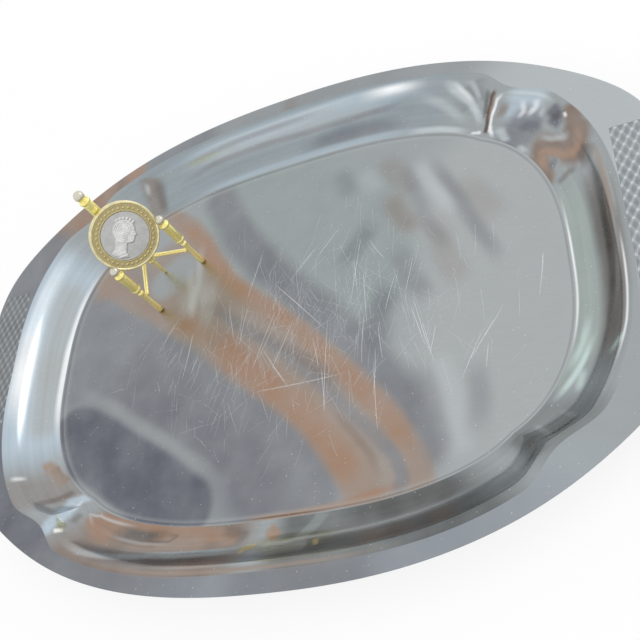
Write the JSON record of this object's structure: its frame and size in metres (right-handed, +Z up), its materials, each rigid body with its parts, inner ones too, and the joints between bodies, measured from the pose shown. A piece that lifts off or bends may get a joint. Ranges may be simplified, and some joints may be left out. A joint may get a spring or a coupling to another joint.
{
  "type": "serving tray with coin stand",
  "caption": "Oval pressed-steel serving tray with two handles, and on its floor a small folding brass post stand that holds a leaning two-metal coin",
  "frame": {"origin": "centre of the underside of the tray, on the table", "axes": "+X towards one handle, +Y across the tray, +Z up"},
  "size_m": [0.2926, 0.2126, 0.0614],
  "materials": {
    "tray_steel": "polished and worn, with fine scratches",
    "stand_brass": "polished",
    "coin_ring_metal": "satin, worn",
    "coin_core_metal": "satin, worn"
  },
  "bodies": {
    "tray": {"tray_sheet": "tray_steel"},
    "stand": {"back_post": "stand_brass", "stop_ring": "stand_brass"},
    "left_leg": {"left_arm": "stand_brass", "left_post": "stand_brass"},
    "right_leg": {"right_arm": "stand_brass", "right_post": "stand_brass"},
    "coin": {"coin_ring": "coin_ring_metal", "coin_core": "coin_core_metal"}
  },
  "joints": [
    {"name": "stand_lift", "type": "slide", "parent": "tray", "child": "stand", "axis": [0, 0, 1], "range_m": [0, 0.06]},
    {"name": "left_leg_fold", "type": "hinge", "parent": "stand", "child": "left_leg", "pos_m": [-0.0626, 0.0397, 0.017], "axis": [0, 0, 1], "range_deg": [0, 37]},
    {"name": "right_leg_fold", "type": "hinge", "parent": "stand", "child": "right_leg", "pos_m": [-0.0626, 0.0397, 0.0137], "axis": [0, 0, -1], "range_deg": [0, 37]},
    {"name": "coin_lift", "type": "slide", "parent": "stand", "child": "coin", "axis": [0, 0, 1], "range_m": [0, 0.045]}
  ]
}
